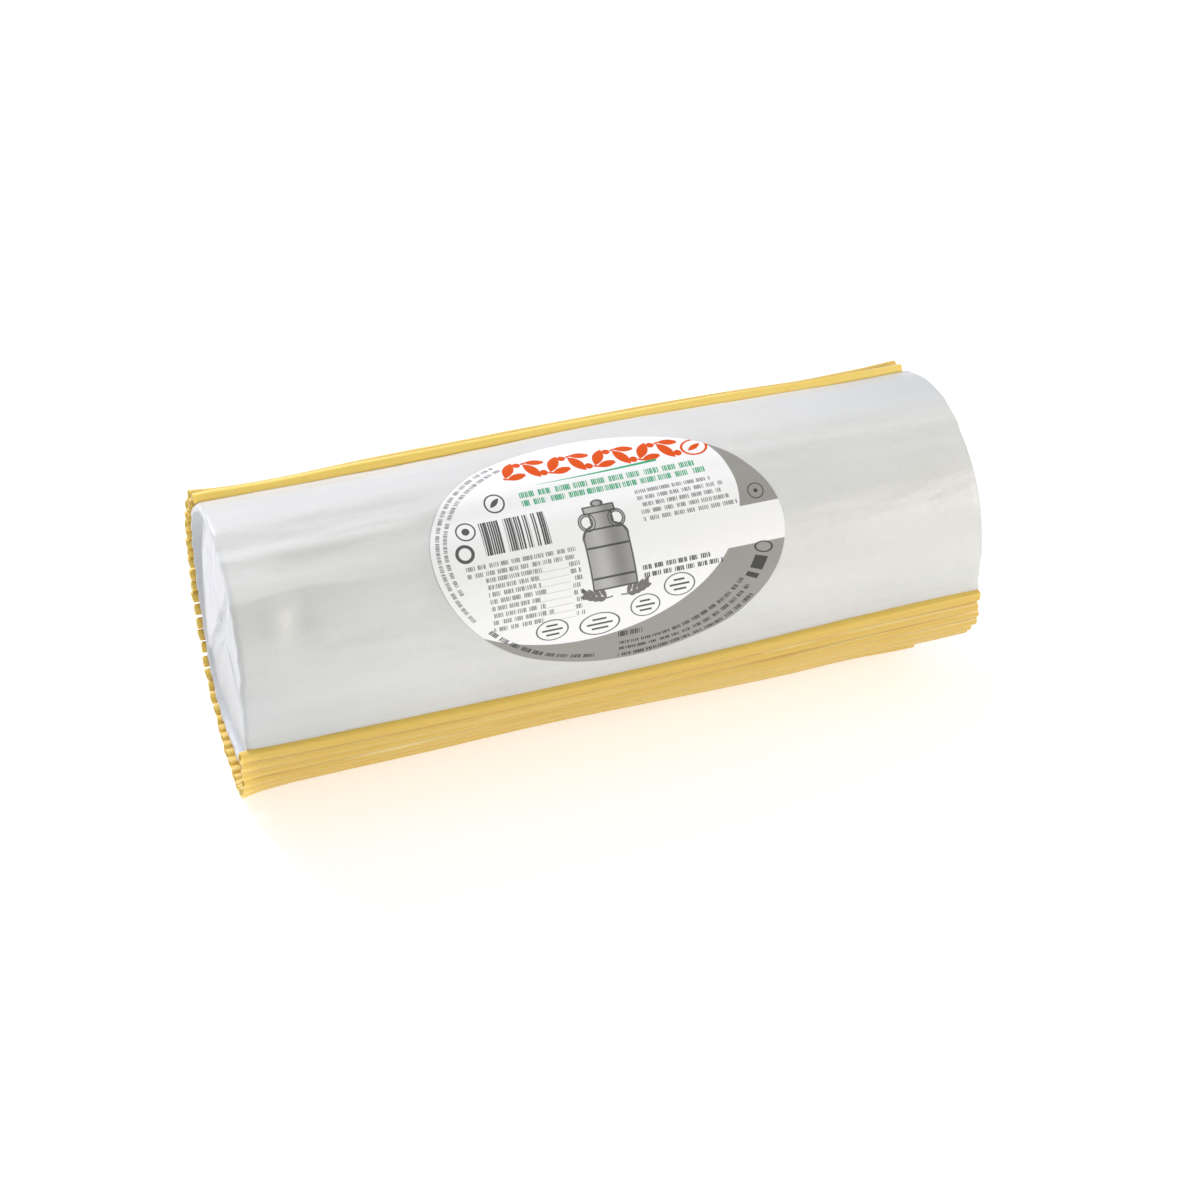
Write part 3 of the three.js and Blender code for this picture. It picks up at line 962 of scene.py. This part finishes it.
def dashes(x, y, left, right, top, pitch, rows, height, word, seed):
    """Rows of dashes of uneven length, where small print would be."""
    finish = x.finish
    down = (top - y) / pitch
    row = down.floor()
    in_row = abs(down - row - 0.5) * pitch - height / 2
    place = (x - left) / word + row * 0.37
    column = place.floor()
    width = 0.68 + 0.24 * chance(finish, column, row, seed)
    in_dash = (abs(place - column - width / 2) - width / 2) * word
    stroke = (x - left) / STROKE_MM + row * 0.61
    stroke_column = stroke.floor()
    stroke_width = 0.45 + 0.45 * chance(finish, stroke_column, row, seed + 1)
    in_stroke = (stroke - stroke_column - stroke_width) * STROKE_MM
    end = right - (right - left) * 0.22 * chance(finish, row, seed, 7)
    bounds = (left - x).most(x - end)
    rows_only = abs(y - (top - rows * pitch / 2)) - rows * pitch / 2
    return in_row.most(in_dash.most(in_stroke)).most(bounds).most(rows_only)


def print_places(x, y, settings):
    """Ways to measure a place: flat, or in millimetres along the edge and in from it."""
    half_length = settings.half_length / MM
    half_height = settings.half_height / MM
    sheet_x = x - PRINT_SHIFT[0]
    sheet_y = y - PRINT_SHIFT[1]
    edge_x = (sheet_x * math.cos(settings.tilt) + sheet_y * math.sin(settings.tilt)) / half_length
    edge_y = (sheet_y * math.cos(settings.tilt) - sheet_x * math.sin(settings.tilt)) / half_height
    edge_share = (edge_x ** 2 + edge_y ** 2).root()
    steepness = ((edge_x / half_length) ** 2 + (edge_y / half_height) ** 2).root()
    along = edge_y.math("ARCTAN2", edge_x) * ROUND_MM
    from_edge = (1 - edge_share) * half_height
    from_rim = (1 - edge_share) * edge_share / steepness
    return {"flat": (x, y), "round": (along, from_edge), "round back": (-along, from_edge),
            "rim": (along, from_rim), "rim back": (-along, from_rim)}


def printed(places, rows):
    return union([dashes(*places[kind], *numbers) for kind, *numbers in rows])


def garland_shape(x, y):
    """Leaves that swing to either side of a stem, with a ring and a leaf at its end."""
    cells = (x - GARLAND_LEFT) / GARLAND_CELL
    column = cells.floor()
    side = 1 - 2 * (column / 2).fraction().above(0.25)
    spine = GARLAND_HEIGHT - GARLAND_SLOPE * (x - GARLAND_LEFT)
    in_x = (cells - column - 0.5) * GARLAND_CELL
    in_y = (y - spine) * side
    stem = abs(in_y + 2.6 - 0.5 * (in_x * 0.97).sine()) - 0.35
    leaves = [leaf(in_x, in_y, *each) for each in GARLAND_LEAVES]
    garland = union([*leaves, oval(in_x, in_y, (2, 2.4), (1.15, 1.15)), stem])
    span = abs(x - (GARLAND_LEFT + 4 * GARLAND_CELL)) - 4 * GARLAND_CELL
    end_ring = ring(x, y, (31, 24), (3.6, 2.9), 0.6)
    return union([garland.most(span), end_ring, leaf(x, y, (28.9, 23), 25, 4.6, 1.7)])


def swash_shape(x, y):
    sweep = (x - SWASH_LEFT) / SWASH_LENGTH
    swash = abs(y - SWASH_HEIGHT - 0.9 * sweep ** 2) - 0.05 - 0.42 * sweep.clamped()
    return swash.most(abs(sweep - 0.5) * SWASH_LENGTH - 17.7)


def churn_layers(finish, x, y, ink):
    """A milk churn with two handles and hoops, between two sprigs."""
    off = abs(x - CHURN_X)
    parts = [block(off, y, -half, half, low, high) - rounding for half, low, high, rounding in CHURN_BLOCKS]
    churn = union(parts + [oval(off, y, centre, radii) for centre, radii in CHURN_OVALS])
    handles = ring(off, y, (4.3, 6.4), (2, 2.2), 0.75)
    solid = churn.least(handles)
    tone = (x - CHURN_X) / 7
    dark = (0.42 + 0.4 * tone + 0.25 * (tone * 5).sine()).clamped()
    hoops = union([abs(y - height) - half for height, half in CHURN_HOOPS]).most(churn + 0.3)
    outline = (abs(churn) - 0.24).least(abs(handles) - 0.14)
    sprigs = [(abs(y + 14.9 - 0.05 * (off - 3) ** 2) - 0.2).most(abs(off - 5.4) - 4.2)]
    for step in range(4):
        base = (3 + 1.5 * step, -14.8 + 0.1 * step * step)
        for turn, reach in ((62 - 4 * step, 3.5), (-8 + 6 * step, 2.8)):
            sprigs.append(leaf(off, y, base, turn, reach, 1.35))
    return [
        (inside(solid), finish.mix(dark, CHURN_PALE, CHURN_DARK)),
        (inside(union(sprigs).most(0.2 - solid)), SPRIG_GREY),
        (inside(outline.least(hoops)) * 0.85, ink)]


def bars_shape(finish, x, y):
    """Uneven upright bars, some left out."""
    stripe = (x - 0.02 * (y - 7)) / BAR_PITCH
    column = stripe.floor()
    draw = chance(finish, column, 1, 5)
    bars = (stripe - column - (0.25 + 0.75 * draw)) * BAR_PITCH
    return bars.most(0.3 - draw).most(block(x, y, *BAR_BLOCK))


def marks_shape(x, y, places):
    """Rings with a dot or a leaf, ovals with three bars, and a ring with two bars at the edge."""
    marks = [leaf(x, y, (-31, 16.4), 40, 3.8, 1.5)]
    for centre, radius, line in ROUND_MARKS:
        radii = (radius, radius)
        marks.append(ring(x, y, centre, radii, line) if line else oval(x, y, centre, radii))
    for centre, radii in OVAL_MARKS:
        marks.append(ring(x, y, centre, radii, 0.28))
        for up, part in OVAL_BARS:
            half, middle_y = part * radii[0], centre[1] + up
            marks.append(block(x, y, centre[0] - half, centre[0] + half, middle_y - 0.28, middle_y + 0.28))
    along, inward = places["round"]
    marks.append(ring(along, inward, (-8.9, 4.2), (1.8, 1.8), 0.45))
    marks.append(block(along, inward, -16.5, -12.2, 2.9, 5.3) - 0.2)
    marks.append(block(along, inward, -19.6, -18.3, 2.9, 5.3) - 0.2)
    return union(marks)


def rules_shape(x, y):
    rules = abs(((RULE_TOP - y) / RULE_PITCH).fraction() - 0.88) * RULE_PITCH - 0.06
    return rules.most(block(x, y, *RULE_BLOCK))


def label_finish():
    settings = bpy.context.scene.cheese_label
    finish = Finish("printed_label")
    where = finish.node("ShaderNodeUVMap", {"uv_map": "print_mm"})
    split = finish.node("ShaderNodeSeparateXYZ", {}, {0: where.outputs["UV"]})
    x, y = finish.value(split, 0), finish.value(split, 1)
    places = print_places(x, y, settings)
    grey, ink = settings.grey, settings.ink
    crescent = (-oval(x, y, CRESCENT_CENTRE, CRESCENT_RADII)).most(-block(x, y, *WHITE_BAR))
    green_shape = swash_shape(x, y).least(printed(places, GREEN_ROWS))
    layers = [
        (inside(crescent), grey),
        (inside(garland_shape(x, y)), settings.orange),
        (inside(green_shape) * 0.96, settings.green),
        *churn_layers(finish, x, y, ink),
        (inside(bars_shape(finish, x, y)) * 0.95, ink),
        (inside(marks_shape(x, y, places)) * 0.92, ink),
        (inside(printed(places, DARK_ROWS)) * 0.95, ink),
        (inside(printed(places, SMALL_ROWS)) * 0.72, ink),
        (inside(rules_shape(x, y)) * 0.5, ink),
    ]
    place = finish.object_mm()
    colour = finish.mix(finish.noise(place, 0.35) * 0.06, settings.white, grey)
    for mask, tint in layers:
        colour = finish.mix(mask, colour, tint)
    gloss = 0.26 + 0.1 * finish.noise(place, 0.8)
    waves = finish.bumped(finish.noise(place, 0.12, detail=3), 0.25, 0.6 * MM)
    return finish.surface(colour, gloss, waves, Specular_IOR_Level=0.25)


def add_oval_sheet():
    """A flat oval of rings on unit radius, solid after its wall is given."""
    clear_selection()
    bpy.ops.mesh.primitive_circle_add(
        vertices=LABEL_SIDES, radius=1, fill_type="NGON", location=(0, 0, 0))
    sheet = bpy.context.object
    select_in_mesh(sheet, "FACE", lambda face: True)
    for _ in range(LABEL_RINGS - 1):
        bpy.ops.mesh.inset(thickness=1 / LABEL_RINGS)
    bpy.ops.mesh.poke()
    enter_mode("OBJECT")
    return sheet


def wrap_sheet(sheet, settings):
    """Lays the sheet on the paper and keeps its flat millimetres as the print's UV map."""
    points = read_points(sheet)
    turn = np.arctan2(points[:, 1], points[:, 0])
    fuller = np.where(points[:, 1] > 0, TOP_FULLNESS, 2)
    trimmed = (np.abs(np.cos(turn)) ** fuller + np.abs(np.sin(turn)) ** fuller) ** (-1 / fuller)
    along = points[:, 0] * trimmed * settings.half_length / MM
    up = points[:, 1] * trimmed * settings.half_height / MM
    x_flat = along * math.cos(settings.tilt) - up * math.sin(settings.tilt)
    y_flat = along * math.sin(settings.tilt) + up * math.cos(settings.tilt)
    print_map = sheet.data.uv_layers.new(name="print_mm")
    corner_vertex = np.empty(len(sheet.data.loops), dtype=np.int32)
    sheet.data.loops.foreach_get("vertex_index", corner_vertex)
    flat = np.stack((x_flat + PRINT_SHIFT[0], y_flat + PRINT_SHIFT[1]), axis=-1)[corner_vertex]
    print_map.data.foreach_set("uv", flat.astype(np.float32).ravel())

    x = LABEL_X + x_flat
    angle = LABEL_ANGLE + np.degrees(y_flat / LOG_RADIUS_MM)
    edge = np.hypot(points[:, 0], points[:, 1])
    lifted = 0.07 + 0.06 * ease(edge, 0.93, 1) * (0.5 + 0.5 * np.sin(3 * turn))
    write_points(sheet, on_log(x, paper_radius(angle, x) + lifted, angle))


class CHEESE_OT_stick_label(bpy.types.Operator):
    """Stick the printed oval label on the bare paper"""

    bl_idname = "cheese_log.stick_label"
    bl_label = "Stick label"

    def execute(self, context):
        settings = context.scene.cheese_label
        sheet = add_oval_sheet()
        wrap_sheet(sheet, settings)
        make_active(sheet)
        add_wall(sheet, settings.thickness, 1)
        bpy.ops.object.shade_smooth_by_angle(angle=math.radians(40))
        finish_piece(sheet, "oval_label", LABEL_NODE, label_finish())
        return {"FINISHED"}


# Stage

FLOOR_SIZE, SENSOR_MM = 8, 36
DAYLIGHT_COLOUR = (0.965, 0.99, 1, 1)
LAMPS = (  # name, place, side, power, colour
    ("back_lamp", (-0.3, 0.6, 0.6), 0.35, 6.4, (0.917, 0.905, 1)),
    ("front_lamp", (0.6, -0.6, 0.4), 0.4, 3.4, (1, 0.935, 0.85)),
)
LAMP_AIM = (0, 0, 0.05)


def add_lamp(name, place, side, power, colour):
    clear_selection()
    bpy.ops.object.light_add(type="AREA", location=place)
    lamp = bpy.context.object
    lamp.name = name
    lamp.data.shape = "SQUARE"
    lamp.data.size = side
    lamp.data.energy = power
    lamp.data.color = colour
    lamp.rotation_euler = (Vector(LAMP_AIM) - Vector(place)).to_track_quat("-Z", "Y").to_euler()


def floor_finish(settings):
    finish = Finish("pale_floor")
    mottle = finish.noise(finish.object_mm(), 0.01, detail=2)
    dim = tuple(0.97 * part for part in settings.floor)
    colour = finish.mix(mottle, settings.floor, dim)
    return finish.surface(
        colour, 0.7, Specular_IOR_Level=0.2, Emission_Color=(1, 1, 1, 1),
        Emission_Strength=settings.glow)


class CHEESE_OT_set_stage(bpy.types.Operator):
    """Add the floor, the soft lamps and the camera"""

    bl_idname = "cheese_log.set_stage"
    bl_label = "Set stage"

    def execute(self, context):
        settings = context.scene.cheese_stage
        scene = context.scene
        clear_selection()
        bpy.ops.mesh.primitive_plane_add(size=FLOOR_SIZE, location=(0, 0, 0))
        floor = context.object
        floor.name = "floor"
        floor.data.materials.append(floor_finish(settings))

        world = bpy.data.worlds.new("soft_daylight")
        world.use_nodes = True
        background = world.node_tree.nodes["Background"]
        background.inputs["Color"].default_value = DAYLIGHT_COLOUR
        background.inputs["Strength"].default_value = settings.daylight
        scene.world = world
        scene.view_settings.view_transform = "Standard"

        for name, place, side, power, colour in LAMPS:
            add_lamp(name, place, side, power * settings.lamp, colour)

        camera_data = bpy.data.cameras.new("camera")
        camera_data.lens = settings.lens
        camera_data.sensor_width = SENSOR_MM
        camera = bpy.data.objects.new("camera", camera_data)
        scene.collection.objects.link(camera)
        camera.location = AXIS + Vector(settings.camera)
        camera.rotation_euler = (math.pi / 2 - settings.elevation, 0, settings.azimuth)
        scene.camera = camera
        return {"FINISHED"}


STEPS = (  # operator, name of its settings and their class
    (CHEESE_OT_wrap_in_paper, "cheese_paper", PaperSettings),
    (CHEESE_OT_lay_straws, "cheese_straws", StrawSettings),
    (CHEESE_OT_stick_label, "cheese_label", LabelSettings),
    (CHEESE_OT_set_stage, "cheese_stage", StageSettings),
)


class CHEESE_PT_panel(bpy.types.Panel):
    bl_idname = "CHEESE_PT_panel"
    bl_label = "Cheese log"
    bl_space_type = "VIEW_3D"
    bl_region_type = "UI"
    bl_category = "Cheese log"

    def draw(self, context):
        for operator, name, group in STEPS:
            box = self.layout.box()
            box.operator(operator.bl_idname)
            for setting in group.__annotations__:
                box.prop(getattr(context.scene, name), setting)


def register():
    for operator, name, group in STEPS:
        bpy.utils.register_class(group)
        setattr(bpy.types.Scene, name, bpy.props.PointerProperty(type=group))
        bpy.utils.register_class(operator)
    bpy.utils.register_class(CHEESE_PT_panel)


def unregister():
    bpy.utils.unregister_class(CHEESE_PT_panel)
    for operator, name, group in reversed(STEPS):
        bpy.utils.unregister_class(operator)
        delattr(bpy.types.Scene, name)
        bpy.utils.unregister_class(group)


def main():
    register()
    bpy.ops.cheese_log.wrap_in_paper()
    bpy.ops.cheese_log.lay_straws()
    bpy.ops.cheese_log.stick_label()
    bpy.ops.cheese_log.set_stage()
    clear_selection()


if __name__ == "__main__":
    main()
